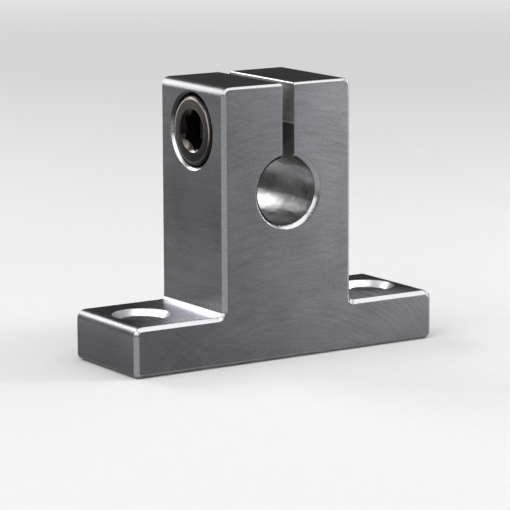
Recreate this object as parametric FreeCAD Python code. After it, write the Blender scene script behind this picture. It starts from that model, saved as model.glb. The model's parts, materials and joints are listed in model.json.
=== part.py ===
"""Upright shaft support block for a round linear shaft.

A T-shaped length of aluminium extrusion stands on a flat base. The shaft goes through a bore near the
middle of the upright. A narrow slot splits the upright above the bore into two jaws, and one socket
head screw across the slot pulls the jaws together to grip the shaft. Two plain holes in the base take
the bolts that hold the block down.

Frame, in millimetres: X is across the base, Y is along the shaft and Z is up. The origin is in the
middle of the base's underside. The screw's head is on the -X side.
"""
import FreeCAD, Part
import math
import os

V = FreeCAD.Vector
ALONG_X = V(1, 0, 0)
ALONG_Y = V(0, 1, 0)
ALONG_Z = V(0, 0, 1)

# The extruded T
base_length = 42.0
base_thickness = 6.0
upright_width = 18.0
block_depth = 14.0
corner_radius = 1.1
foot_radius = 0.8
root_radius = 0.6
face_chamfer = 0.5

# The shaft's bore, and the slot that opens it to the top
shaft_height = 20.0
bore_diameter = 8.0
bore_chamfer = 0.5
slot_width = 1.6
slot_edge_break = 0.15

# The holes for the bolts that hold the base down
bolt_hole_from_end = 5.0
bolt_hole_diameter = 5.5
bolt_hole_chamfer = 0.75

# The clamp screw: a socket head cap screw of 5 mm thread
thread_diameter = 5.0
head_diameter = 8.5
head_height = 5.0
head_edge_radius = 0.4
head_seat_chamfer = 0.15
neck_fillet = 0.15
tip_chamfer = 0.5
key_size = 4.0
key_depth = 2.5
key_mouth_diameter = 5.2
key_mouth_angle = 90.0
drill_point_angle = 120.0

# The screw's holes in the two jaws, with the wall below them and the wall above them
wall_over_bore = 0.4
wall_over_screw_head = 1.35
head_recess = 0.05
tip_recess = 0.95
head_clearance = 0.1
counterbore_chamfer = 0.35
screw_clearance = 0.2
thread_clearance = 0.05
tapped_hole_chamfer = 0.4

# How far a cutting tool runs past the face that it starts from
overrun = 1.0

# Two lengths that differ by less than this are the same
same_length = 1e-6

# Places worked out from the sizes above
half_depth = block_depth / 2
half_upright = upright_width / 2
bolt_spacing = base_length - 2 * bolt_hole_from_end
screw_hole_radius = thread_diameter / 2 + screw_clearance
counterbore_radius = head_diameter / 2 + head_clearance
screw_height = shaft_height + bore_diameter / 2 + wall_over_bore + screw_hole_radius
block_height = screw_height + counterbore_radius + wall_over_screw_head
head_top_x = -half_upright + head_recess
head_seat_x = head_top_x + head_height
tip_x = half_upright - tip_recess


def turned(axis_start, axis, outline):
    """A solid of revolution, from an outline of (distance along the axis, radius) points."""
    side = ALONG_Z if abs(axis.dot(ALONG_Z)) < 0.5 else ALONG_X
    points = [axis_start + axis * along + side * radius for along, radius in outline]
    face = Part.Face(Part.makePolygon(points + [points[0]]))
    return face.revolve(axis_start, axis, 360)


def rounded_section(corners):
    """A flat face in the plane of the front, from (x, z, radius) corners, with an arc at each corner."""
    points = [V(x, -half_depth, z) for x, z, radius in corners]
    arcs = []
    for index, (x, z, radius) in enumerate(corners):
        here = points[index]
        to_last = (points[index - 1] - here).normalize()
        to_next = (points[(index + 1) % len(points)] - here).normalize()
        half_angle = to_last.getAngle(to_next) / 2
        inward = (to_last + to_next).normalize()
        reach = radius / math.tan(half_angle)
        bulge = radius / math.sin(half_angle) - radius
        arcs.append((here + to_last * reach, here + inward * bulge, here + to_next * reach))
    edges = []
    for index, (arc_start, arc_middle, arc_end) in enumerate(arcs):
        next_start = arcs[(index + 1) % len(arcs)][0]
        edges.append(Part.Arc(arc_start, arc_middle, arc_end).toShape())
        edges.append(Part.LineSegment(arc_end, next_start).toShape())
    return Part.Face(Part.Wire(edges))


def is_round_an_end(edge):
    """Whether an edge of the blank borders its front or back face, and doesn't run along the extrusion."""
    depths = [vertex.Y for vertex in edge.Vertexes]
    return max(depths) - min(depths) < same_length


def extruded_blank():
    """The T-shaped blank, with its rounded corners and the chamfer round its front and back faces."""
    half_base = base_length / 2
    section = rounded_section(
        [
            (-half_base, 0, foot_radius),
            (half_base, 0, foot_radius),
            (half_base, base_thickness, corner_radius),
            (half_upright, base_thickness, root_radius),
            (half_upright, block_height, corner_radius),
            (-half_upright, block_height, corner_radius),
            (-half_upright, base_thickness, root_radius),
            (-half_base, base_thickness, corner_radius),
        ]
    )
    blank = section.extrude(ALONG_Y * block_depth)
    rims = [edge for edge in blank.Edges if is_round_an_end(edge)]
    return blank.makeChamfer(face_chamfer, rims)


def shaft_bore_tool():
    """The bore for the shaft, with a chamfer at each mouth."""
    radius = bore_diameter / 2
    reach = overrun + bore_chamfer
    start = V(0, -half_depth - overrun, shaft_height)
    length = block_depth + 2 * overrun
    return turned(
        start,
        ALONG_Y,
        [
            (0, 0),
            (0, radius + reach),
            (reach, radius),
            (length - reach, radius),
            (length, radius + reach),
            (length, 0),
        ],
    )


def jaw_slot_tool():
    """The slot from the bore to the top, which parts the upright into two jaws."""
    half_slot = slot_width / 2
    reach = overrun + slot_edge_break
    top = block_height + overrun
    outline = [
        (-half_slot, shaft_height),
        (half_slot, shaft_height),
        (half_slot, top - reach),
        (half_slot + reach, top),
        (-half_slot - reach, top),
        (-half_slot, top - reach),
    ]
    points = [V(x, -half_depth - overrun, z) for x, z in outline]
    section = Part.Face(Part.makePolygon(points + [points[0]]))
    return section.extrude(ALONG_Y * (block_depth + 2 * overrun))


def bolt_hole_tool(x):
    """One plain bolt hole through the base, with a chamfer at the top."""
    radius = bolt_hole_diameter / 2
    reach = overrun + bolt_hole_chamfer
    length = base_thickness + 2 * overrun
    return turned(
        V(x, 0, -overrun),
        ALONG_Z,
        [(0, 0), (0, radius), (length - reach, radius), (length, radius + reach), (length, 0)],
    )


def screw_hole_tool():
    """The clamp screw's stepped hole: counterbored and plain in one jaw, tapped in the other."""
    tapped_radius = thread_diameter / 2 + thread_clearance
    mouth_reach = overrun + counterbore_chamfer
    exit_reach = overrun + tapped_hole_chamfer
    start_x = -half_upright - overrun
    length = upright_width + 2 * overrun
    seat = head_seat_x - start_x
    middle = -start_x
    return turned(
        V(start_x, 0, screw_height),
        ALONG_X,
        [
            (0, 0),
            (0, counterbore_radius + mouth_reach),
            (mouth_reach, counterbore_radius),
            (seat, counterbore_radius),
            (seat, screw_hole_radius),
            (middle, screw_hole_radius),
            (middle, tapped_radius),
            (length - exit_reach, tapped_radius),
            (length, tapped_radius + exit_reach),
            (length, 0),
        ],
    )


def support_block():
    """The block in one piece, with every hole and the slot cut."""
    tools = [shaft_bore_tool(), jaw_slot_tool(), screw_hole_tool()]
    tools += [bolt_hole_tool(side * bolt_spacing / 2) for side in (-1, 1)]
    return extruded_blank().cut(tools).removeSplitter()


def key_socket_tool():
    """The hexagon socket for the key, with its conical mouth and the drill's point at the bottom."""
    key_corner_radius = key_size / math.sqrt(3)
    centre = V(head_top_x, 0, screw_height)
    corners = []
    for step in range(6):
        angle = math.radians(60 * step)
        corners.append(centre + V(0, math.sin(angle), math.cos(angle)) * key_corner_radius)
    prism = Part.Face(Part.makePolygon(corners + [corners[0]])).extrude(ALONG_X * key_depth)

    point_depth = key_size / 2 / math.tan(math.radians(drill_point_angle / 2))
    point = turned(
        centre, ALONG_X, [(0, 0), (0, key_size / 2), (key_depth, key_size / 2), (key_depth + point_depth, 0)]
    )

    mouth_radius = key_mouth_diameter / 2
    mouth_depth = mouth_radius / math.tan(math.radians(key_mouth_angle / 2))
    mouth = turned(centre, ALONG_X, [(0, 0), (0, mouth_radius), (mouth_depth, 0)])
    return prism.fuse([point, mouth])


def is_ring(edge, x, radius):
    """Whether an edge is the circle of that radius round the screw's axis at that X."""
    if not isinstance(edge.Curve, Part.Circle):
        return False
    return abs(edge.Curve.Radius - radius) < same_length and abs(edge.Curve.Center.x - x) < same_length


def clamp_screw():
    """The socket head cap screw, seated on the floor of its counterbore. Its thread is a plain cylinder."""
    head_radius = head_diameter / 2
    shank_radius = thread_diameter / 2
    length = tip_x - head_top_x
    body = turned(
        V(head_top_x, 0, screw_height),
        ALONG_X,
        [
            (0, 0),
            (0, head_radius),
            (head_height - head_seat_chamfer, head_radius),
            (head_height, head_radius - head_seat_chamfer),
            (head_height, shank_radius),
            (length - tip_chamfer, shank_radius),
            (length, shank_radius - tip_chamfer),
            (length, 0),
        ],
    )

    rim = [edge for edge in body.Edges if is_ring(edge, head_top_x, head_radius)]
    body = body.makeFillet(head_edge_radius, rim)
    neck = [edge for edge in body.Edges if is_ring(edge, head_seat_x, shank_radius)]
    body = body.makeFillet(neck_fillet, neck)
    return body.cut(key_socket_tool()).removeSplitter()


def main():
    os.makedirs("parts", exist_ok=True)
    pieces = {
        "support_block": support_block(),
        "clamp_screw": clamp_screw(),
    }
    for name, shape in pieces.items():
        solids = shape.Solids
        if len(solids) != 1 or not solids[0].isValid():
            raise ValueError(f"{name} isn't one valid solid")
        solids[0].exportStep(f"parts/{name}.step")
        print(name, "volume", round(solids[0].Volume, 2), "mm3")


main()
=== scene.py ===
import json
import math

import bmesh
import bpy
from mathutils import Matrix, Vector


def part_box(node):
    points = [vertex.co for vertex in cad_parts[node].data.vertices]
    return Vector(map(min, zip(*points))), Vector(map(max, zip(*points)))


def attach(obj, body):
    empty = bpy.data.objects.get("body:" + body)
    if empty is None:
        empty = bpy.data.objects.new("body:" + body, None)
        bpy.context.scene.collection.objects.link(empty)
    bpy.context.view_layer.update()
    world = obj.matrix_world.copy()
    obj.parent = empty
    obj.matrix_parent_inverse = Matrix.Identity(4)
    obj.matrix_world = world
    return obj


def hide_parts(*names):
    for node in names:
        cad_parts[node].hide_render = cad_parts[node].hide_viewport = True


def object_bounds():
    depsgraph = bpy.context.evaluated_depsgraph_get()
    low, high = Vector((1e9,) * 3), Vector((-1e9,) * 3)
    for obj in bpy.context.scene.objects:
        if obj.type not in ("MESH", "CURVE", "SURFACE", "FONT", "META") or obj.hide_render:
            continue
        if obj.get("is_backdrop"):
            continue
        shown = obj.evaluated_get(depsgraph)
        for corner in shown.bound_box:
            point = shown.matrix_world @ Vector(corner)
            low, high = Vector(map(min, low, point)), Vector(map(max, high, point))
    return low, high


bl_info = {
    "name": "Shaft support block",
    "version": (1, 0, 0),
    "blender": (4, 5, 0),
    "location": "View3D > Sidebar > Shaft support",
    "description": "Builds a split shaft support block with its clamp screw, and a plain studio",
    "category": "Add Mesh",
}

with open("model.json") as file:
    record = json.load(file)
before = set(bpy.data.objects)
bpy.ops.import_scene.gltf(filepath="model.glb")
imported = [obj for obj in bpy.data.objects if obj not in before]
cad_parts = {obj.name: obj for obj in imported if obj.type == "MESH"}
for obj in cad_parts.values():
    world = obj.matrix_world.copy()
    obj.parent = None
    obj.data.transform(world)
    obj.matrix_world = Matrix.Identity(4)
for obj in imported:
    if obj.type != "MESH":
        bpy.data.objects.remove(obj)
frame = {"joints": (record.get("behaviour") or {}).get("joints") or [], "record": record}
cad_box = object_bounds()

# The model is worked out in millimetres and written in metres
MM = 0.001

# The overall sizes come from the frame
block_low, block_high = (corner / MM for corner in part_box("support_block"))
screw_low, screw_high = (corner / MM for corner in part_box("clamp_screw"))
mounts = {mount["name"]: mount for mount in frame["record"]["mounts"]}
joints = {joint["name"]: joint for joint in frame["joints"]}
bore_centre = Vector(mounts["shaft_bore"]["pos_m"]) / MM
screw_axis = Vector(joints["clamp_screw_turn"]["pos_m"]) / MM

# The kinds of machined surface on the block, each with its own material
EXTRUDED, MILLED, CHAMFERED, REAMED, SAWN, DRILLED, COUNTERSUNK, COUNTERBORED = range(8)
# The kinds of surface on the screw
TURNED, SMOOTH_RIM, BROACHED, KNURLED, ROLLED, BEVELLED = range(6)

# How far a cutting tool runs past the face that it starts from
OVERRUN = 1.0

# How many flat steps draw a quarter turn of the profile's corners, and a whole turn of each hole
CORNER_STEPS = 10
BORE_STEPS = 120
POCKET_STEPS = 96
HOLE_STEPS = 72
KEY_MOUTH_STEPS = 96
DRILL_POINT_STEPS = 60

# The grip lines round the screw's head, and how many steps draw each one
KNURL_TEETH = 42
STEPS_A_TOOTH = 4


def length(name, about, default):
    """A size in metres that the user can change, from its default in millimetres."""
    return bpy.props.FloatProperty(
        name=name,
        description=about,
        default=default * MM,
        min=0.0,
        precision=5,
        subtype="DISTANCE",
        unit="LENGTH",
    )


def colour(name, about, default):
    """A linear colour that the user can change."""
    return bpy.props.FloatVectorProperty(
        name=name, description=about, default=default, min=0.0, max=1.0, subtype="COLOR", size=3
    )


class ShaftSupportBlockSizes(bpy.types.PropertyGroup):
    base_thickness: length("Base thickness", "Height of the base's two ends", 6.0)
    upright_width: length("Upright width", "Width of the upright across the shaft", 18.0)
    corner_radius: length("Corner radius", "Rounding of the extrusion's upper corners", 1.1)
    foot_radius: length("Foot radius", "Rounding of the extrusion's lower corners", 0.8)
    root_radius: length("Root radius", "Fillet where the upright meets the base", 0.6)
    face_chamfer: length("Face chamfer", "Chamfer round the front and back faces", 0.5)
    top_chamfer: length("Top chamfer", "The same chamfer where it runs along the top", 0.3)
    bore_radius: length(
        "Bore radius", "Radius of the shaft's bore", mounts["shaft_bore"]["dims"]["r_mm"]
    )
    bore_chamfer: length("Bore chamfer", "Chamfer at each mouth of the bore", 0.5)
    slot_width: length("Slot width", "Width of the slot between the jaws", 1.6)
    slot_edge_break: length("Slot edge break", "Small chamfer along the slot's top edges", 0.15)
    bolt_spacing: length(
        "Bolt spacing",
        "Distance between the base's two holes",
        mounts["base_bolts"]["dims"]["spacing_x_mm"],
    )
    bolt_hole_radius: length(
        "Bolt hole radius",
        "Radius of the base's two holes",
        mounts["base_bolts"]["dims"]["hole_r_mm"],
    )
    bolt_hole_chamfer: length("Bolt hole chamfer", "Chamfer at the top of each base hole", 0.75)
    counterbore_radius: length("Counterbore radius", "Radius of the screw head's pocket", 4.35)
    counterbore_chamfer: length("Counterbore chamfer", "Chamfer at the pocket's mouth", 0.35)
    clearance_radius: length("Clearance radius", "Radius of the plain hole under the head", 2.7)
    tapped_radius: length("Tapped radius", "Radius at the root of the hole's thread", 2.55)
    tapped_core_radius: length("Tapped core radius", "Radius at the thread's crest", 2.15)
    tapped_chamfer: length("Tapped chamfer", "Chamfer at the mouth of the tapped hole", 0.4)
    edge_break: length("Edge break", "Width of the tiny rounding along every edge", 0.07)


class ShaftSupportScrewSizes(bpy.types.PropertyGroup):
    head_height: length("Head height", "Height of the screw's head", 5.0)
    head_edge_radius: length("Head edge radius", "Rounding of the head's rim", 0.6)
    head_seat_chamfer: length("Head seat chamfer", "Chamfer under the head", 0.15)
    thread_radius: length("Thread radius", "Radius at the thread's crest", 2.5)
    thread_depth: length("Thread depth", "From the thread's crest to its root", 0.48)
    thread_pitch: length("Thread pitch", "Advance of the thread in one turn", 0.8)
    tip_chamfer: length("Tip chamfer", "Chamfer at the end of the shank", 0.5)
    key_size: length("Key size", "Width across the flats of the hexagon socket", 4.0)
    key_depth: length("Key depth", "Depth of the hexagon socket's flats", 2.5)
    key_mouth_radius: length("Key mouth radius", "Radius of the socket's conical mouth", 2.6)
    knurl_depth: length("Knurl depth", "Depth of the grip lines round the head", 0.12)
    edge_break: length("Edge break", "Width of the tiny rounding on the socket's edges", 0.04)


class ShaftSupportFinishes(bpy.types.PropertyGroup):
    aluminium: colour("Aluminium", "Colour of the bare aluminium", (0.37, 0.365, 0.395))
    cut_aluminium: colour(
        "Cut aluminium",
        "Colour of the aluminium that a tool has cut bright",
        (0.37, 0.366, 0.377),
    )
    steel: colour("Steel", "Colour of the plated screw", (0.127, 0.11, 0.103))
    floor: colour("Floor", "Colour of the floor", (0.54, 0.54, 0.54))
    backdrop: colour("Backdrop", "Colour of the floor far away", (0.84, 0.84, 0.845))
    surroundings: colour("Surroundings", "Colour of the dome overhead", (0.35, 0.35, 0.36))


class Sizes:
    """Lengths in millimetres, each an attribute."""


def in_millimetres(group):
    """The sizes of one property group, by name."""
    sizes = Sizes()
    for name in group.__annotations__:
        setattr(sizes, name, getattr(group, name) / MM)
    return sizes


def block_sizes():
    """The block's sizes in millimetres, by name."""
    return in_millimetres(bpy.context.scene.shaft_support_block)


def screw_sizes():
    """The screw's sizes in millimetres, by name."""
    return in_millimetres(bpy.context.scene.shaft_support_screw)


# Meshes, in millimetres


class Form:
    """A mesh in the making: its points, its faces and the kind of surface that each face has."""

    def __init__(self):
        self.points = []
        self.faces = []
        self.kinds = []

    def add_ring(self, points):
        first = len(self.points)
        self.points.extend(points)
        return list(range(first, len(self.points)))

    def add_face(self, corners, kind):
        self.faces.append(corners)
        self.kinds.append(kind)

    def join_rings(self, ring, next_ring, kind):
        """A band of faces between two rings. A ring of one point makes a cone."""
        count = max(len(ring), len(next_ring))
        for index in range(count):
            after = (index + 1) % count
            corners = [ring[index % len(ring)], ring[after % len(ring)]]
            corners += [next_ring[after % len(next_ring)], next_ring[index % len(next_ring)]]
            self.add_face(list(dict.fromkeys(corners)), kind)

    def join_all(self, rings, kinds):
        """Bands of faces from each ring to the next, with one kind for each band."""
        for ring, next_ring, kind in zip(rings, rings[1:], kinds):
            self.join_rings(ring, next_ring, kind)

    def mesh(self, name):
        mesh = bpy.data.meshes.new(name)
        mesh.from_pydata(self.points, [], self.faces)
        mesh.polygons.foreach_set("material_index", self.kinds)
        shape = bmesh.new()
        shape.from_mesh(mesh)
        bmesh.ops.recalc_face_normals(shape, faces=shape.faces)
        shape.to_mesh(mesh)
        shape.free()
        return mesh


def clamp(value):
    """The value kept between 0 and 1."""
    return min(1.0, max(0.0, value))


def full_turn(steps):
    """The angles of one turn, in equal steps."""
    return [2 * math.pi * step / steps for step in range(steps)]


def place_along(axis, start):
    """A function from (distance along the axis, radius, right-handed angle) to a point."""
    along = Vector(axis)
    side = Vector((0, 0, 1)) if abs(along.z) < 0.5 else Vector((1, 0, 0))
    other = along.cross(side)
    origin = Vector(start)

    def place(distance, radius, angle):
        outward = side * math.cos(angle) + other * math.sin(angle)
        return origin + along * distance + outward * radius

    return place


def turned_form(outline, kinds, place, steps):
    """A closed form turned from (distance, radius) points, with one kind for each stretch."""
    form = Form()
    rings = []
    for distance, radius in outline:
        angles = [0.0] if radius == 0 else full_turn(steps)
        rings.append(form.add_ring([place(distance, radius, angle) for angle in angles]))
    form.join_all(rings, kinds)
    return form


def shaped_form(stations, end_kind, place, steps):
    """A closed form round an axis, whose radius varies with the angle.

    Each station is a distance, a function from the angle to the radius, and the kind of the
    band that leads up to it.
    """
    form = Form()
    rings = [form.add_ring([place(stations[0][0], 0, 0)])]
    kinds = []
    for distance, radius_at, kind in stations:
        points = [place(distance, radius_at(angle), angle) for angle in full_turn(steps)]
        rings.append(form.add_ring(points))
        kinds.append(kind)
    rings.append(form.add_ring([place(stations[-1][0], 0, 0)]))
    form.join_all(rings, [*kinds, end_kind])
    return form


def rounded_outline(corners, inset):
    """Points round (x, z, radius) corners in the XZ plane, moved inwards by the inset."""
    outline = []
    count = len(corners)
    for index, (x, z, radius) in enumerate(corners):
        here = Vector((x, z))
        last_x, last_z, _ = corners[index - 1]
        next_x, next_z, _ = corners[(index + 1) % count]
        to_last = (Vector((last_x, last_z)) - here).normalized()
        to_next = (Vector((next_x, next_z)) - here).normalized()
        centre = here + (to_last + to_next) * radius
        bulges_out = to_last.cross(to_next) < 0
        own_radius = radius - inset if bulges_out else radius + inset
        for step in range(CORNER_STEPS + 1):
            angle = math.pi / 2 * step / CORNER_STEPS
            outward = -to_next * math.cos(angle) - to_last * math.sin(angle)
            outline.append(centre + outward * own_radius)
    return outline


def chamfer_share(sizes, height):
    """The face chamfer's share of its full width at one height. It narrows along the top."""
    risen = (height - block_high.z) / sizes.corner_radius + 1.0
    return 1.0 - (1.0 - sizes.top_chamfer / sizes.face_chamfer) * clamp(risen)


def block_blank(sizes):
    """The extruded T, with rounded corners and the chamfers round its front and back faces."""
    base_end = block_high.x
    side = sizes.upright_width / 2
    floor, shoulder, top = block_low.z, sizes.base_thickness, block_high.z
    corners = [
        (-base_end, floor, sizes.foot_radius),
        (base_end, floor, sizes.foot_radius),
        (base_end, shoulder, sizes.corner_radius),
        (side, shoulder, sizes.root_radius),
        (side, top, sizes.corner_radius),
        (-side, top, sizes.corner_radius),
        (-side, shoulder, sizes.root_radius),
        (-base_end, shoulder, sizes.corner_radius),
    ]
    outer = rounded_outline(corners, 0)
    inner = rounded_outline(corners, sizes.face_chamfer)
    shares = [chamfer_share(sizes, point.y) for point in outer]
    rim = [point.lerp(inset, share) for point, inset, share in zip(outer, inner, shares)]
    form = Form()

    def add_end(face_y, inwards):
        """The rings of one face's rim and of its chamfer's outer edge."""
        drops = [inwards * sizes.face_chamfer * share for share in shares]
        flat = [Vector((point.x, face_y, point.y)) for point in rim]
        edge = [Vector((point.x, face_y + drop, point.y)) for point, drop in zip(outer, drops)]
        return form.add_ring(flat), form.add_ring(edge)

    front_rim, front_edge = add_end(block_low.y, 1)
    back_rim, back_edge = add_end(block_high.y, -1)
    rings = [front_rim, front_edge, back_edge, back_rim]
    form.join_all(rings, [CHAMFERED, EXTRUDED, CHAMFERED])
    form.add_face(front_rim, MILLED)
    form.add_face(back_rim, MILLED)
    return form


def bore_tool(sizes):
    """Cuts the shaft's bore, with a chamfer at each mouth."""
    reach = OVERRUN + sizes.bore_chamfer
    far = block_high.y - block_low.y + 2 * OVERRUN
    wide = sizes.bore_radius + reach
    outline = [
        (0, 0),
        (0, wide),
        (reach, sizes.bore_radius),
        (far - reach, sizes.bore_radius),
        (far, wide),
        (far, 0),
    ]
    kinds = [REAMED, CHAMFERED, REAMED, CHAMFERED, REAMED]
    place = place_along((0, 1, 0), (bore_centre.x, block_low.y - OVERRUN, bore_centre.z))
    return turned_form(outline, kinds, place, BORE_STEPS)


def slot_tool(sizes):
    """Cuts the slot between the jaws, from the bore to the top."""
    half = sizes.slot_width / 2
    reach = OVERRUN + sizes.slot_edge_break
    top = block_high.z + OVERRUN
    bottom = bore_centre.z
    outline = [
        (-half, bottom),
        (half, bottom),
        (half, top - reach),
        (half + reach, top),
        (-half - reach, top),
        (-half, top - reach),
    ]
    kinds = [SAWN, SAWN, CHAMFERED, CHAMFERED, CHAMFERED, SAWN]
    form = Form()
    near, far = (
        form.add_ring([Vector((x, y, z)) for x, z in outline])
        for y in (block_low.y - OVERRUN, block_high.y + OVERRUN)
    )
    for index, kind in enumerate(kinds):
        after = (index + 1) % len(outline)
        form.add_face([near[index], near[after], far[after], far[index]], kind)
    form.add_face(near, SAWN)
    form.add_face(far, SAWN)
    return form


def bolt_hole_tool(sizes, x):
    """Cuts one plain bolt hole through the base, with a chamfer at the top."""
    reach = OVERRUN + sizes.bolt_hole_chamfer
    far = sizes.base_thickness + 2 * OVERRUN
    radius = sizes.bolt_hole_radius
    outline = [(0, 0), (0, radius), (far - reach, radius), (far, radius + reach), (far, 0)]
    kinds = [DRILLED, DRILLED, COUNTERSUNK, DRILLED]
    place = place_along((0, 0, 1), (x, 0, block_low.z - OVERRUN))
    return turned_form(outline, kinds, place, HOLE_STEPS)


def head_pocket_tool(sizes):
    """Cuts the counterbore for the screw's head and the plain hole under it."""
    start_x = -sizes.upright_width / 2 - OVERRUN
    reach = OVERRUN + sizes.counterbore_chamfer
    seat = screw_low.x + screw_sizes().head_height - start_x
    middle = -start_x
    outline = [
        (0, 0),
        (0, sizes.counterbore_radius + reach),
        (reach, sizes.counterbore_radius),
        (seat, sizes.counterbore_radius),
        (seat, sizes.clearance_radius),
        (middle, sizes.clearance_radius),
        (middle, 0),
    ]
    kinds = [DRILLED, COUNTERBORED, DRILLED, DRILLED, DRILLED, DRILLED]
    place = place_along((1, 0, 0), (start_x, 0, screw_axis.z))
    return turned_form(outline, kinds, place, POCKET_STEPS)


def tapped_hole_tool(sizes):
    """Cuts the tapped hole. Its thread shows only past the screw's tip, where nothing turns."""
    tip_clearance = 0.04
    thread_rings = 12
    pitch = screw_sizes().thread_pitch
    root, core = sizes.tapped_radius, sizes.tapped_core_radius
    thread_start = screw_high.x + tip_clearance
    mouth = sizes.upright_width / 2 - sizes.tapped_chamfer
    reach = OVERRUN + sizes.tapped_chamfer

    def threaded(distance):
        return lambda angle: core + (root - core) * thread_profile(distance, angle, pitch)

    stations = [(0, lambda _: root, DRILLED), (thread_start, lambda _: root, DRILLED)]
    for step in range(thread_rings + 1):
        distance = thread_start + (mouth - thread_start) * step / thread_rings
        stations.append((distance, threaded(distance), DRILLED))
    stations.append((mouth, lambda _: root, DRILLED))
    stations.append((mouth + reach, lambda _: root + reach, CHAMFERED))
    place = place_along((1, 0, 0), (0, 0, screw_axis.z))
    return shaped_form(stations, DRILLED, place, HOLE_STEPS)


def thread_profile(distance, angle, pitch):
    """From 0 at the crest of an inner thread to 1 at its root, on a right-handed helix."""
    flat_crest, flank = 0.18, 0.62
    phase = (distance / pitch - angle / (2 * math.pi)) % 1.0
    from_crest = abs(phase - 0.5) * 2
    return clamp((from_crest - flat_crest) / flank)


def new_object(mesh):
    thing = bpy.data.objects.new(mesh.name, mesh)
    bpy.context.scene.collection.objects.link(thing)
    return thing


def cut(form, tools, materials, name):
    """The form's mesh with every tool cut away. Each face keeps the material of what made it."""
    body, *cutters = (new_object(part.mesh("uncut")) for part in (form, *tools))
    for thing in (body, *cutters):
        for material in materials:
            thing.data.materials.append(material)
    for cutter in cutters:
        difference = body.modifiers.new("cut", "BOOLEAN")
        difference.operation = "DIFFERENCE"
        difference.solver = "EXACT"
        difference.object = cutter
    shown = body.evaluated_get(bpy.context.evaluated_depsgraph_get())
    result = bpy.data.meshes.new_from_object(shown)
    for thing in (body, *cutters):
        mesh = thing.data
        bpy.data.objects.remove(thing)
        bpy.data.meshes.remove(mesh)
    result.name = name
    return result


def soften_edges(shape, width, kept_sharp):
    """Rounds every edge that turns sharply, apart from those between kinds kept sharp."""
    sharp_turn = math.radians(22)
    edges = []
    for edge in shape.edges:
        if len(edge.link_faces) != 2:
            raise RuntimeError("the mesh isn't closed")
        kinds = {face.material_index for face in edge.link_faces}
        if edge.calc_face_angle() > sharp_turn and not kinds <= kept_sharp:
            edges.append(edge)
    bmesh.ops.bevel(
        shape,
        geom=edges,
        offset=width,
        offset_type="OFFSET",
        segments=2,
        profile=0.5,
        affect="EDGES",
        clamp_overlap=False,
        material=-1,
    )


def finished_piece(mesh, width, kept_sharp=frozenset()):
    """The mesh as an object in metres, with its edges softened and its shading smooth."""
    same_point = 1e-4
    shape = bmesh.new()
    shape.from_mesh(mesh)
    bmesh.ops.remove_doubles(shape, verts=shape.verts, dist=same_point)
    soften_edges(shape, width, kept_sharp)
    bmesh.ops.scale(shape, vec=Vector((MM, MM, MM)), verts=shape.verts)
    for face in shape.faces:
        face.smooth = True
    shape.to_mesh(mesh)
    shape.free()
    piece = new_object(mesh)
    normals = piece.modifiers.new("flat faces stay flat", "WEIGHTED_NORMAL")
    normals.mode = "FACE_AREA"
    normals.weight = 50
    return piece


# The clamp screw


def screw_form(sizes):
    """The screw turned and rolled: rounded rim, knurled head, neck, thread and chamfered tip."""
    place = place_along((1, 0, 0), (screw_low.x, 0, screw_axis.z))
    stations = [*head_stations(sizes), *shank_stations(sizes)]
    return shaped_form(stations, ROLLED, place, KNURL_TEETH * STEPS_A_TOOTH)


def head_stations(sizes):
    """The head from its top down: the rim, smooth at first, the knurl and the seat."""
    rim_steps = 8
    smooth_rim_steps = 2
    knurl_end = 0.1
    head_radius = (screw_high.z - screw_low.z) / 2
    edge = sizes.head_edge_radius
    seat_chamfer_start = sizes.head_height - sizes.head_seat_chamfer

    def knurled(crest_radius, strength):
        depth = sizes.knurl_depth * strength
        return lambda angle: crest_radius - depth * abs(math.cos(angle * KNURL_TEETH / 2))

    for step in range(rim_steps + 1):
        angle = math.pi / 2 * step / rim_steps
        crest_radius = head_radius - edge + edge * math.sin(angle)
        strength = max(0, step - smooth_rim_steps) / (rim_steps - smooth_rim_steps)
        kind = TURNED if step == 0 else SMOOTH_RIM if step <= smooth_rim_steps else KNURLED
        yield edge - edge * math.cos(angle), knurled(crest_radius, strength), kind
    yield seat_chamfer_start - knurl_end, knurled(head_radius, 1), KNURLED
    yield seat_chamfer_start, knurled(head_radius, 0), KNURLED
    yield sizes.head_height, knurled(head_radius - sizes.head_seat_chamfer, 0), KNURLED


def shank_stations(sizes):
    """The shank from the head down: the plain neck, the thread that grows from it, and the tip."""
    neck_length = 0.5
    rings_a_pitch = 12
    total = screw_high.x - screw_low.x
    thread_start = sizes.head_height + neck_length
    count = round((total - thread_start) / sizes.thread_pitch * rings_a_pitch)
    core = sizes.thread_radius - sizes.thread_depth

    def threaded(distance):
        grown = min(1.0, (distance - thread_start) / sizes.thread_pitch)
        tip = sizes.thread_radius - max(0.0, distance - (total - sizes.tip_chamfer))

        def radius_at(angle):
            crest = 1.0 - thread_profile(distance, angle, sizes.thread_pitch)
            full = core + sizes.thread_depth * crest
            return min(tip, full + (sizes.thread_radius - full) * (1 - grown))

        return radius_at

    yield sizes.head_height, lambda _: sizes.thread_radius, KNURLED
    for step in range(count + 1):
        distance = thread_start + (total - thread_start) * step / count
        yield distance, threaded(distance), ROLLED


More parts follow.
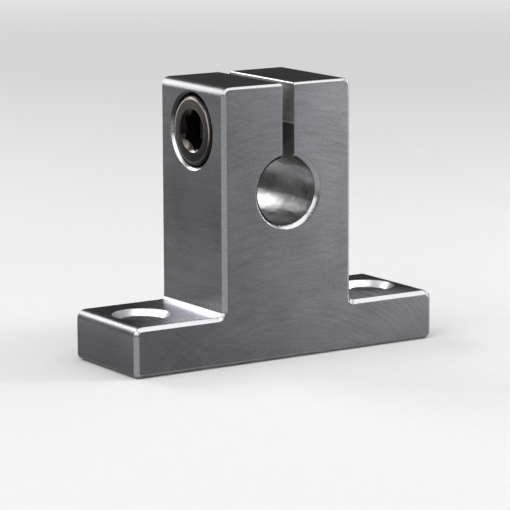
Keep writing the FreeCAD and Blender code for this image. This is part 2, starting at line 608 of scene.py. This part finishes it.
def key_socket_tools(sizes):
    """Cut the hexagon socket, the drilled point below it and the conical mouth."""
    place = place_along((1, 0, 0), (screw_low.x, 0, screw_axis.z))
    depth = sizes.key_depth
    corner = sizes.key_size / math.sqrt(3)
    hexagon = [(-OVERRUN, 0), (-OVERRUN, corner), (depth, corner), (depth, 0)]
    drill = sizes.key_size / 2
    drill_point_slope = math.radians(30)
    point = drill * math.tan(drill_point_slope)
    drilled = [(-OVERRUN, 0), (-OVERRUN, drill), (depth, drill), (depth + point, 0)]
    wide = sizes.key_mouth_radius + OVERRUN
    mouth = [(-OVERRUN, 0), (-OVERRUN, wide), (sizes.key_mouth_radius, 0)]
    return [
        turned_form(hexagon, [BROACHED] * 3, place, 6),
        turned_form(drilled, [BROACHED] * 3, place, DRILL_POINT_STEPS),
        turned_form(mouth, [BEVELLED] * 2, place, KEY_MOUTH_STEPS),
    ]


# Materials. Their lengths and heights are in millimetres, and lightness is a share of the colour


class Recipe:
    """A material's node tree, with short ways to add to it."""

    def __init__(self, name):
        self.material = bpy.data.materials.new(name)
        self.material.use_nodes = True
        self.tree = self.material.node_tree
        self.tree.nodes.clear()
        self.shader = self.add("ShaderNodeBsdfPrincipled")
        self.surface = self.add("ShaderNodeOutputMaterial").inputs["Surface"]
        self.tree.links.new(self.shader.outputs["BSDF"], self.surface)
        place = self.add("ShaderNodeTexCoord").outputs["Object"]
        self.place = self.vector("SCALE", place, scale=1 / MM)

    def add(self, kind, **settings):
        node = self.tree.nodes.new(kind)
        for name, value in settings.items():
            setattr(node, name, value)
        return node

    def feed(self, socket, value):
        if isinstance(value, bpy.types.NodeSocket):
            self.tree.links.new(value, socket)
        else:
            socket.default_value = value

    def vector(self, operation, first, second=None, scale=None):
        node = self.add("ShaderNodeVectorMath", operation=operation)
        self.feed(node.inputs[0], first)
        if second is not None:
            self.feed(node.inputs[1], second)
        if scale is not None:
            self.feed(node.inputs["Scale"], scale)
        return node.outputs[0]

    def maths(self, operation, first, second=0.0, third=0.0):
        node = self.add("ShaderNodeMath", operation=operation)
        for socket, value in zip(node.inputs, (first, second, third)):
            self.feed(socket, value)
        return node.outputs[0]

    def product(self, first, *others):
        """The values multiplied together."""
        for other in others:
            first = self.maths("MULTIPLY", first, other)
        return first

    def total(self, *weighted):
        """The sum of (value, weight) pairs."""
        sum_so_far = 0.0
        for value, weight in weighted:
            sum_so_far = self.maths("MULTIPLY_ADD", value, weight, sum_so_far)
        return sum_so_far

    def away_from(self, value, middle):
        """How far a value is from a middle one."""
        return self.maths("ABSOLUTE", self.maths("SUBTRACT", value, middle))

    def spread(self, value, low, high, value_low=0.3, value_high=0.7):
        """A value spread over another range. Noise keeps to about the middle of its own."""
        node = self.add("ShaderNodeMapRange")
        self.feed(node.inputs["Value"], value)
        self.feed(node.inputs["From Min"], value_low)
        self.feed(node.inputs["From Max"], value_high)
        self.feed(node.inputs["To Min"], low)
        self.feed(node.inputs["To Max"], high)
        return node.outputs["Result"]

    def parts(self, vector):
        node = self.add("ShaderNodeSeparateXYZ")
        self.feed(node.inputs[0], vector)
        return node.outputs

    def combine(self, x, y, z):
        node = self.add("ShaderNodeCombineXYZ")
        for socket, value in zip(node.inputs, (x, y, z)):
            self.feed(socket, value)
        return node.outputs[0]

    def noise(self, where, detail=2.0, scale=1.0, roughness=0.5):
        node = self.add("ShaderNodeTexNoise")
        self.feed(node.inputs["Vector"], where)
        self.feed(node.inputs["Scale"], scale)
        self.feed(node.inputs["Detail"], detail)
        self.feed(node.inputs["Roughness"], roughness)
        return node.outputs[0]

    def stretched_noise(self, per_mm, detail, roughness=0.5):
        """Noise with its own scale along each axis."""
        where = self.vector("MULTIPLY", self.place, per_mm)
        return self.noise(where, detail=detail, roughness=roughness)

    def tint(self, base, factor):
        """The base colour made lighter or darker by a factor that varies over the surface."""
        node = self.add("ShaderNodeMix", data_type="RGBA", blend_type="MULTIPLY")
        self.feed(node.inputs["Factor"], 1.0)
        self.feed(node.inputs["A"], (*base, 1.0))
        grey = self.add("ShaderNodeCombineColor")
        for socket in grey.inputs:
            self.feed(socket, factor)
        self.feed(node.inputs["B"], grey.outputs[0])
        return node.outputs["Result"]

    def bump(self, height, depth):
        """Raises the surface by a height from 0 to 1 times a depth in millimetres."""
        node = self.add("ShaderNodeBump")
        self.feed(node.inputs["Height"], height)
        self.feed(node.inputs["Distance"], depth * MM)
        self.feed(self.shader.inputs["Normal"], node.outputs["Normal"])

    def finish(self, colour, roughness, metallic=1.0):
        self.feed(self.shader.inputs["Base Color"], colour)
        self.feed(self.shader.inputs["Roughness"], roughness)
        self.feed(self.shader.inputs["Metallic"], metallic)
        return self.material


def corner_start():
    """The height where the upright's flanks turn into its rounded top corners."""
    return block_high.z - block_sizes().corner_radius


def streaks_along_y(recipe, per_mm):
    """Streaks that run along the extrusion."""
    return recipe.stretched_noise((per_mm, per_mm * 0.02, per_mm), detail=3.0, roughness=0.6)


def leaning_scratches(recipe):
    """From 0 to 1 on a few thin scratches that lean a little from the extrusion's direction."""
    lean_cosine, lean_sine = 0.92, 0.39
    x, y, z = recipe.parts(recipe.place)
    across = recipe.total((z, lean_cosine), (y, -lean_sine))
    along = recipe.total((y, lean_cosine), (z, lean_sine))
    where = recipe.combine(
        recipe.product(x, 0.7), recipe.product(along, 0.16), recipe.product(across, 4.5)
    )
    return recipe.spread(recipe.noise(where, detail=1.0), 0.0, 1.0, 0.66, 0.76)


def flank_run_out(recipe, z):
    """From 0 to 1 where the upright's flanks draw in a little to meet its top corners softly."""
    reach = 0.9
    node = recipe.add("ShaderNodeMapRange", interpolation_type="SMOOTHSTEP")
    recipe.feed(node.inputs["Value"], z)
    recipe.feed(node.inputs["From Min"], corner_start() - reach)
    recipe.feed(node.inputs["From Max"], corner_start() + reach)
    return node.outputs["Result"]


def painted_highlight_by_root(recipe, x, y, z):
    """Painted highlight on the root fillets, less far from the upright and less towards the back.
    """
    outwards = recipe.total((recipe.maths("ABSOLUTE", x), 1.0), (y, 0.6))
    by_upright = recipe.spread(outwards, 1.0, 0.0, 11.0, 17.5)
    from_shoulder = recipe.away_from(z, block_sizes().base_thickness)
    at_shoulder = recipe.spread(from_shoulder, 1.0, 0.0, 0.1, 0.5)
    return recipe.product(by_upright, at_shoulder, recipe.spread(y, 2.35, 1.35, -5.5, 2.5))


def extruded_aluminium(base):
    """The profile's own skin, with lines along the extrusion and a few scratches.

    It has a painted highlight in the root fillets, and painted shade on the base's ends and halfway
    up the upright.
    """
    recipe = Recipe("extruded_aluminium")
    x, y, z = recipe.parts(recipe.place)
    fine = streaks_along_y(recipe, 5.0)
    broad = streaks_along_y(recipe, 0.9)
    grain = recipe.noise(recipe.place, scale=4.0, detail=1.0)
    clouds = recipe.noise(recipe.place, scale=0.2, detail=2.0)
    scratches = leaning_scratches(recipe)
    relief = recipe.total(
        (fine, 0.5),
        (broad, 0.5),
        (grain, 0.2),
        (scratches, -0.15),
        (flank_run_out(recipe, z), -30.0),
    )
    recipe.bump(relief, 0.008)
    lightness = recipe.total(
        (recipe.spread(fine, -0.03, 0.03), 1.0),
        (recipe.spread(broad, -0.02, 0.02), 1.0),
        (recipe.spread(grain, -0.03, 0.03), 1.0),
        (recipe.spread(clouds, 0.29, 0.35), 1.0),
        (scratches, 0.08),
        # painted highlight in the root fillets
        (painted_highlight_by_root(recipe, x, y, z), 1.0),
    )
    # Painted shade: darker halfway up the upright and low on the base's ends
    halfway_up = 18.0
    painted_shade_halfway = recipe.spread(recipe.away_from(z, halfway_up), 0.7, 1.0, 1.5, 8.0)
    painted_shade_on_ends = recipe.spread(z, 0.72, 1.0, 3.0, 5.0)
    lightness = recipe.product(lightness, painted_shade_on_ends, painted_shade_halfway)
    rougher_corner = recipe.spread(recipe.away_from(z, corner_start()), 0.04, 0.0, 0.3, 1.0)
    roughness = recipe.total((recipe.spread(fine, 0.24, 0.34), 1.0), (rougher_corner, 1.0))
    return recipe.finish(recipe.tint(base, lightness), roughness)


def mill_arcs(recipe, bulge, per_mm):
    """From -1 to 1 over a wide face mill's arcs, which bulge up for -1 and down for 1."""
    cutter_radius = 25.0
    x, _, z = recipe.parts(recipe.place)
    drop = recipe.maths("SQRT", recipe.maths("SUBTRACT", cutter_radius**2, recipe.product(x, x)))
    travel = recipe.product(recipe.maths("MULTIPLY_ADD", drop, bulge, z), per_mm)
    where = recipe.combine(travel, recipe.product(x, 0.22), bulge)
    return recipe.spread(recipe.noise(where, detail=2.0, roughness=0.6), -1.0, 1.0)


def milled_aluminium(base):
    """The front and back faces: sandy satin, crossed by faint mill arcs, with painted shade towards
    -X.
    """
    recipe = Recipe("milled_aluminium")
    patches = recipe.noise(recipe.place, scale=0.13, detail=1.0)
    rising = recipe.product(mill_arcs(recipe, -1.0, 2.5), recipe.spread(patches, 0.25, 1.0))
    falling = recipe.product(mill_arcs(recipe, 1.0, 2.1), recipe.spread(patches, 0.9, 0.2))
    sand = recipe.noise(recipe.place, scale=5.0, detail=1.0)
    clouds = recipe.noise(recipe.place, scale=0.18, detail=2.0)
    recipe.bump(recipe.total((rising, 0.25), (falling, 0.2), (sand, 0.5)), 0.008)
    lightness = recipe.total(
        (rising, 0.045),
        (falling, 0.035),
        (recipe.spread(sand, -0.05, 0.05), 1.0),
        (recipe.spread(clouds, 0.33, 0.39), 1.0),
    )
    x, _, _ = recipe.parts(recipe.place)
    # Painted shade: darker towards -X, lighter towards +X
    lightness = recipe.product(lightness, recipe.spread(x, 0.76, 1.07, -13.0, 5.0))
    return recipe.finish(recipe.tint(base, lightness), recipe.spread(sand, 0.28, 0.4))


def chamfered_aluminium(base):
    """The chamfers, cut bright with a single-edged tool."""
    recipe = Recipe("chamfered_aluminium")
    chatter = recipe.noise(recipe.place, scale=4.0, detail=1.0)
    recipe.bump(chatter, 0.002)
    lightness = recipe.spread(chatter, 0.72, 0.85)
    return recipe.finish(recipe.tint(base, lightness), recipe.spread(chatter, 0.18, 0.28))


def countersunk_aluminium(base):
    """The bolt holes' chamfers: rough from the tool's chatter, bright partly as a painted
    highlight, and with painted shade in front.
    """
    recipe = Recipe("countersunk_aluminium")
    _, y, _ = recipe.parts(recipe.place)
    chatter = recipe.noise(recipe.place, scale=5.0, detail=2.0)
    recipe.bump(chatter, 0.006)
    # Painted shade on each chamfer's front side; the high lightness is partly a painted highlight
    painted_shade_in_front = recipe.spread(y, 0.2, 1.0, -0.6, 0.6)
    lightness = recipe.product(recipe.spread(chatter, 2.0, 2.4), painted_shade_in_front)
    return recipe.finish(recipe.tint(base, lightness), recipe.spread(chatter, 0.4, 0.55))


def reamed_aluminium(base):
    """The bore, smooth with faint rings round it.

    A band of painted shade runs along it at its middle, and below that it has painted light:
    bright well inside and dull near the front.
    """
    recipe = Recipe("reamed_aluminium")
    _, y, z = recipe.parts(recipe.place)
    rings = recipe.stretched_noise((0.15, 5.0, 0.15), detail=3.0)
    bands = recipe.stretched_noise((0.7, 0.2, 0.7), detail=1.0)
    patches = recipe.noise(recipe.place, scale=0.6, detail=2.0)
    recipe.bump(recipe.total((rings, 0.07), (bands, 1.0), (patches, 0.6)), 0.1)
    shine = recipe.total(
        (recipe.spread(rings, -0.05, 0.05), 1.0), (recipe.spread(patches, 0.4, 0.55), 1.0)
    )
    up = recipe.maths("SUBTRACT", z, bore_centre.z)
    inwards = recipe.total((y, 1.0), (recipe.spread(patches, -1.0, 1.0), 1.0))
    # Painted reflection: lighter above the middle, and below it bright well inside and dull near
    # the front
    below = recipe.spread(inwards, 0.36, 1.8, -1.3, 2.6)
    level = recipe.spread(up, below, 1.35, -2.0, 2.5)
    # Painted shade: a dark band along the bore's middle
    band_middle = -0.45
    in_band = recipe.spread(inwards, 1.15, 0.18, -4.0, 2.0)
    band = recipe.spread(recipe.away_from(up, band_middle), in_band, 1.0, 0.9, 2.1)
    lightness = recipe.product(shine, level, band)
    return recipe.finish(recipe.tint(base, lightness), recipe.spread(patches, 0.26, 0.4))


def counterbored_aluminium(base):
    """The chamfer of the screw head's pocket: bright below, with painted shade above."""
    recipe = Recipe("counterbored_aluminium")
    _, _, z = recipe.parts(recipe.place)
    chatter = recipe.noise(recipe.place, scale=4.0, detail=1.0)
    recipe.bump(chatter, 0.002)
    # Painted shade: darker above the screw's axis
    painted_shade_above = recipe.spread(z, 1.0, 0.12, screw_axis.z - 1.0, screw_axis.z + 1.5)
    lightness = recipe.product(recipe.spread(chatter, 0.85, 1.0), painted_shade_above)
    return recipe.finish(recipe.tint(base, lightness), recipe.spread(chatter, 0.2, 0.3))


def sawn_aluminium(base):
    """The slot's walls, with the long marks of a slitting saw and a brownish tint.

    They have painted light well inside and painted shade by the top. A thin lighter line
    crosses them a little above the screw's middle, and below it they are darker with painted shade.
    """
    recipe = Recipe("sawn_aluminium")
    _, y, z = recipe.parts(recipe.place)
    marks = recipe.stretched_noise((1.0, 0.3, 4.0), detail=3.0)
    recipe.bump(marks, 0.004)
    light_line_height = screw_axis.z + 0.9
    # Painted shade: darker below the line
    shade = recipe.spread(z, 0.37, 1.0, light_line_height - 0.1, light_line_height + 0.1)
    light_line = recipe.spread(recipe.away_from(z, light_line_height), 0.8, 0.0, 0.03, 0.12)
    # Painted light well inside the slot, and painted shade by its top
    painted_light_inside = recipe.spread(recipe.maths("ABSOLUTE", y), 2.1, 0.9, 4.6, 6.3)
    painted_shade_by_top = recipe.spread(z, 1.15, 0.65, block_high.z - 3.8, block_high.z - 1.3)
    lightness = recipe.product(recipe.spread(marks, 0.42, 0.62), shade)
    lightness = recipe.total((lightness, 1.0), (light_line, 1.0))
    lightness = recipe.product(lightness, painted_light_inside, painted_shade_by_top)
    red, green, blue = base
    # A brownish tint
    brownish = (red, green * 0.97, blue * 0.88)
    roughness = recipe.spread(marks, 0.3, 0.5)
    return recipe.finish(recipe.tint(brownish, lightness), roughness, metallic=0.4)


def drilled_aluminium(base):
    """The walls of the screw holes and bolt holes."""
    recipe = Recipe("drilled_aluminium")
    marks = recipe.noise(recipe.place, scale=3.0, detail=2.0)
    recipe.bump(marks, 0.004)
    lightness = recipe.spread(marks, 1.0, 1.4)
    return recipe.finish(recipe.tint(base, lightness), recipe.spread(marks, 0.3, 0.45))


def plated_steel(base, name, lightness, smooth, rough, depth):
    """The screw's plated steel in one of its textures, with its range of roughness."""
    recipe = Recipe(name)
    grain = recipe.noise(recipe.place, scale=5.0, detail=1.0)
    recipe.bump(grain, depth)
    mottled = recipe.spread(grain, lightness * 0.75, lightness * 1.25)
    return recipe.finish(recipe.tint(base, mottled), recipe.spread(grain, smooth, rough))


def turned_steel(base):
    """The flat top of the screw's head, with fine rings of turning, random mottling, and painted
    light that makes it lighter upwards and towards +Y.
    """
    recipe = Recipe("turned_steel")
    _, y, z = recipe.parts(recipe.place)
    up = recipe.maths("SUBTRACT", z, screw_axis.z)
    squares = recipe.total((recipe.product(y, y), 1.0), (recipe.product(up, up), 1.0))
    from_axis = recipe.maths("SQRT", squares)
    where = recipe.combine(recipe.product(from_axis, 5.0), recipe.product(y, 0.25), up)
    rings = recipe.noise(where, detail=2.0)
    grain = recipe.noise(recipe.place, scale=4.0, detail=2.0)
    # Painted light: lighter upwards and towards +Y; the grain adds random mottling
    painted_light_and_mottling = recipe.total((up, 0.065), (y, 0.045), (grain, 0.3), (0.09, 1.0))
    recipe.bump(recipe.total((rings, 0.7), (grain, 0.3)), 0.006)
    lightness = recipe.total((recipe.spread(rings, -0.1, 0.1), 1.0), (painted_light_and_mottling, 1.0))
    return recipe.finish(recipe.tint(base, lightness), recipe.spread(grain, 0.24, 0.36))


def steel_with_painted_light(base, name, low, low_shine, high, high_shine):
    """A band of the screw whose lightness runs from low on it to high on it, as painted highlight
    and painted shade.
    """
    recipe = Recipe(name)
    _, _, z = recipe.parts(recipe.place)
    grain = recipe.noise(recipe.place, scale=5.0, detail=1.0)
    recipe.bump(grain, 0.002)
    # Painted highlight and painted shade, by height
    painted_light_by_height = recipe.spread(z, low_shine, high_shine, screw_axis.z + low, screw_axis.z + high)
    lightness = recipe.product(painted_light_by_height, recipe.spread(grain, 0.8, 1.2))
    return recipe.finish(recipe.tint(base, lightness), recipe.spread(grain, 0.12, 0.2))


def in_order(materials):
    """The materials as a list in which each kind of surface finds its own by number."""
    return [materials[kind] for kind in sorted(materials)]


def block_materials():
    finishes = bpy.context.scene.shaft_support_finishes
    skin = tuple(finishes.aluminium)
    cut_bright = tuple(finishes.cut_aluminium)
    return in_order(
        {
            EXTRUDED: extruded_aluminium(skin),
            MILLED: milled_aluminium(skin),
            CHAMFERED: chamfered_aluminium(cut_bright),
            REAMED: reamed_aluminium(cut_bright),
            SAWN: sawn_aluminium(skin),
            DRILLED: drilled_aluminium(cut_bright),
            COUNTERSUNK: countersunk_aluminium(cut_bright),
            COUNTERBORED: counterbored_aluminium(cut_bright),
        }
    )


def screw_materials():
    steel = tuple(bpy.context.scene.shaft_support_finishes.steel)
    # Painted highlight high on the rim; on the key's mouth, painted highlight low and painted shade
    # high
    rim = {"low": -1.5, "low_shine": 0.4, "high": 1.5, "high_shine": 4.2}
    mouth = {"low": -2.2, "low_shine": 0.95, "high": -1.2, "high_shine": 0.08}
    broached = {"lightness": 0.4, "smooth": 0.25, "rough": 0.4, "depth": 0.004}
    # The knurl's low lightness is painted shade on the head's rounded rim and sides
    knurled = {"lightness": 0.13, "smooth": 0.28, "rough": 0.4, "depth": 0.003}
    rolled = {"lightness": 0.8, "smooth": 0.25, "rough": 0.4, "depth": 0.003}
    return in_order(
        {
            TURNED: turned_steel(steel),
            SMOOTH_RIM: steel_with_painted_light(steel, "rim_steel_with_painted_light", **rim),
            BROACHED: plated_steel(steel, "broached_steel", **broached),
            KNURLED: plated_steel(steel, "knurled_steel", **knurled),
            ROLLED: plated_steel(steel, "rolled_thread_steel", **rolled),
            BEVELLED: steel_with_painted_light(steel, "mouth_steel_with_painted_light", **mouth),
        }
    )


# The stage


def build_floor(base, backdrop):
    """A wide floor, a hair below the block so that the two never share a plane."""
    reach, drop = 9000.0, 0.02
    form = Form()
    corners = ((-reach, -reach), (reach, -reach), (reach, reach), (-reach, reach))
    form.add_face(form.add_ring([Vector((x, y, -drop)) * MM for x, y in corners]), 0)
    mesh = form.mesh("floor")
    recipe = Recipe("pale_floor")
    fibres = recipe.noise(recipe.place, scale=0.5, detail=3.0)
    recipe.feed(recipe.shader.inputs["Specular IOR Level"], 0.1)
    recipe.finish(recipe.tint(base, recipe.spread(fibres, 0.99, 1.01)), 0.8, metallic=0.0)
    fade_to_backdrop(recipe, backdrop)
    mesh.materials.append(recipe.material)
    new_object(mesh)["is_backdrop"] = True


def fade_to_backdrop(recipe, backdrop):
    """Keeps the floor far from the block pale, without more light on the block."""
    near, far = 90.0, 500.0
    away = recipe.add("ShaderNodeVectorMath", operation="LENGTH")
    recipe.feed(away.inputs[0], recipe.place)
    faded = recipe.spread(away.outputs["Value"], 0.0, 1.0, near, far)
    rays = recipe.add("ShaderNodeLightPath").outputs
    seen = recipe.maths("MAXIMUM", rays["Is Camera Ray"], rays["Is Glossy Ray"])
    seen = recipe.maths("MAXIMUM", seen, rays["Is Transmission Ray"])
    pale = recipe.add("ShaderNodeEmission")
    recipe.feed(pale.inputs["Color"], (*backdrop, 1.0))
    mix = recipe.add("ShaderNodeMixShader")
    recipe.feed(mix.inputs["Fac"], recipe.product(faded, seen))
    recipe.feed(mix.inputs[1], recipe.shader.outputs["BSDF"])
    recipe.feed(mix.inputs[2], pale.outputs["Emission"])
    recipe.feed(recipe.surface, mix.outputs["Shader"])


def build_surroundings(base):
    """A pale dome that darkens towards the horizon on the right, so the flat tops stay dark."""
    brightest_way = (-0.4, 0.0, 1.0)
    bright_from, dark_strength = 0.6, 0.14
    world = bpy.data.worlds.new("soft_surroundings")
    world.use_nodes = True
    tree = world.node_tree
    background = tree.nodes["Background"]
    background.inputs["Color"].default_value = (*base, 1.0)
    direction = tree.nodes.new("ShaderNodeTexCoord").outputs["Generated"]
    height = tree.nodes.new("ShaderNodeVectorMath")
    height.operation = "DOT_PRODUCT"
    tree.links.new(direction, height.inputs[0])
    height.inputs[1].default_value = brightest_way
    dome = tree.nodes.new("ShaderNodeMapRange")
    dome.interpolation_type = "SMOOTHSTEP"
    dome.inputs["From Min"].default_value = 0.0
    dome.inputs["From Max"].default_value = bright_from
    dome.inputs["To Min"].default_value = dark_strength
    tree.links.new(height.outputs["Value"], dome.inputs["Value"])
    tree.links.new(dome.outputs["Result"], background.inputs["Strength"])
    bpy.context.scene.world = world


# Each softbox: its name, its turn to the right of straight behind the block and its rise in
# degrees, its distance and size in millimetres, and its power in watts
SOFTBOXES = [
    ("back_softbox", -16, 28, 320, (140, 110), 0.3),
    ("wide_back_softbox", -20, 29, 330, (220, 160), 0.19),
    ("low_back_softbox", -31, 7, 320, (110, 60), 0.015),
    ("right_softbox", 80, 22, 320, (190, 170), 0.25),
    ("front_softbox", 118, 52, 340, (190, 170), 0.3),
    ("left_softbox", 262, 36, 340, (420, 280), 1.05),
    ("overhead_softbox", 185, 70, 340, (260, 200), 0.5),
    ("low_key", 122, 7, 250, (70, 70), 0.66),
]


def add_softbox(name, turn, rise, distance, size, power):
    """A soft lamp aimed at the block's middle."""
    lamp = bpy.data.lights.new(name, "AREA")
    lamp.shape = "RECTANGLE"
    lamp.size, lamp.size_y = (side * MM for side in size)
    lamp.energy = power
    turn, rise = math.radians(turn), math.radians(rise)
    level = Vector((math.sin(turn), math.cos(turn), 0))
    outward = level * math.cos(rise) + Vector((0, 0, math.sin(rise)))
    middle = Vector((0, 0, 15))
    thing = bpy.data.objects.new(name, lamp)
    thing.location = (middle + outward * distance) * MM
    thing.rotation_euler = (-outward).to_track_quat("-Z", "Y").to_euler()
    bpy.context.scene.collection.objects.link(thing)


def build_camera():
    """The camera fitted to the photograph."""
    yaw, pitch, roll = 0.57468, 0.18084, -0.0037
    distance = 351.799
    shift_right, shift_up = -0.127, -4.931
    centre = Vector((0, 0, 16.4))
    focal_pixels, frame_pixels = 2950.39, 510
    sensor_width = 36.0
    level_back = Vector((-math.sin(yaw), -math.cos(yaw), 0))
    back = level_back * math.cos(pitch) + Vector((0, 0, math.sin(pitch)))
    level = Vector((math.cos(yaw), -math.sin(yaw), 0))
    upward = back.cross(level)
    right = level * math.cos(roll) + upward * math.sin(roll)
    up = -level * math.sin(roll) + upward * math.cos(roll)
    target = centre + right * shift_right + up * shift_up
    eye = (target + back * distance) * MM
    camera = bpy.data.cameras.new("photograph_view")
    camera.sensor_width = sensor_width
    camera.lens = focal_pixels / frame_pixels * sensor_width
    camera.clip_start = 0.01
    thing = bpy.data.objects.new("photograph_view", camera)
    turn = Matrix((right, up, back)).transposed().to_4x4()
    thing.matrix_world = Matrix.Translation(eye) @ turn
    bpy.context.scene.collection.objects.link(thing)
    bpy.context.scene.camera = thing


# Operators and the panel


class SHAFTSUPPORT_OT_block(bpy.types.Operator):
    """Builds the T-shaped block with its bore, slot and holes"""

    bl_idname = "shaft_support.block"
    bl_label = "Build the support block"

    def execute(self, context):
        sizes = block_sizes()
        half_spacing = sizes.bolt_spacing / 2
        tools = [
            bore_tool(sizes),
            slot_tool(sizes),
            head_pocket_tool(sizes),
            tapped_hole_tool(sizes),
            bolt_hole_tool(sizes, -half_spacing),
            bolt_hole_tool(sizes, half_spacing),
        ]
        mesh = cut(block_blank(sizes), tools, block_materials(), "block_body")
        piece = finished_piece(mesh, sizes.edge_break)
        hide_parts("support_block")
        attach(piece, "block")
        return {"FINISHED"}


class SHAFTSUPPORT_OT_clamp_screw(bpy.types.Operator):
    """Builds the socket head cap screw that closes the clamp"""

    bl_idname = "shaft_support.clamp_screw"
    bl_label = "Build the clamp screw"

    def execute(self, context):
        sizes = screw_sizes()
        tools = key_socket_tools(sizes)
        mesh = cut(screw_form(sizes), tools, screw_materials(), "clamp_screw_body")
        piece = finished_piece(mesh, sizes.edge_break, frozenset({ROLLED, KNURLED}))
        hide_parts("clamp_screw")
        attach(piece, "screw")
        return {"FINISHED"}


class SHAFTSUPPORT_OT_stage(bpy.types.Operator):
    """Builds the floor, the soft lights and the camera"""

    bl_idname = "shaft_support.stage"
    bl_label = "Build the stage"

    def execute(self, context):
        finishes = context.scene.shaft_support_finishes
        build_floor(tuple(finishes.floor), tuple(finishes.backdrop))
        build_surroundings(tuple(finishes.surroundings))
        for softbox in SOFTBOXES:
            add_softbox(*softbox)
        build_camera()
        return {"FINISHED"}


class SHAFTSUPPORT_PT_panel(bpy.types.Panel):
    """Lists the pieces that the add-on can build"""

    bl_idname = "SHAFTSUPPORT_PT_panel"
    bl_label = "Shaft support"
    bl_space_type = "VIEW_3D"
    bl_region_type = "UI"
    bl_category = "Shaft support"

    def draw(self, context):
        for operator in (SHAFTSUPPORT_OT_block, SHAFTSUPPORT_OT_clamp_screw, SHAFTSUPPORT_OT_stage):
            self.layout.operator(operator.bl_idname)
        for group in (
            context.scene.shaft_support_block,
            context.scene.shaft_support_screw,
            context.scene.shaft_support_finishes,
        ):
            box = self.layout.box()
            for name in group.__annotations__:
                box.prop(group, name)


CLASSES = (
    ShaftSupportBlockSizes,
    ShaftSupportScrewSizes,
    ShaftSupportFinishes,
    SHAFTSUPPORT_OT_block,
    SHAFTSUPPORT_OT_clamp_screw,
    SHAFTSUPPORT_OT_stage,
    SHAFTSUPPORT_PT_panel,
)


def register():
    for item in CLASSES:
        bpy.utils.register_class(item)
    scene = bpy.types.Scene
    scene.shaft_support_block = bpy.props.PointerProperty(type=ShaftSupportBlockSizes)
    scene.shaft_support_screw = bpy.props.PointerProperty(type=ShaftSupportScrewSizes)
    scene.shaft_support_finishes = bpy.props.PointerProperty(type=ShaftSupportFinishes)


def unregister():
    del bpy.types.Scene.shaft_support_finishes
    del bpy.types.Scene.shaft_support_screw
    del bpy.types.Scene.shaft_support_block
    for item in reversed(CLASSES):
        bpy.utils.unregister_class(item)


def write_sizes():
    """Works out the CAD model's box and the finished model's box as plain lists of numbers."""
    boxes = {"cad": cad_box, "visual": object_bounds()}
    plain = {
        name: [[float(value) for value in corner] for corner in box] for name, box in boxes.items()
    }


def main():
    register()
    bpy.context.scene.view_settings.view_transform = "Standard"
    bpy.ops.shaft_support.block()
    bpy.ops.shaft_support.clamp_screw()
    bpy.ops.shaft_support.stage()
    write_sizes()


if __name__ == "__main__":
    main()
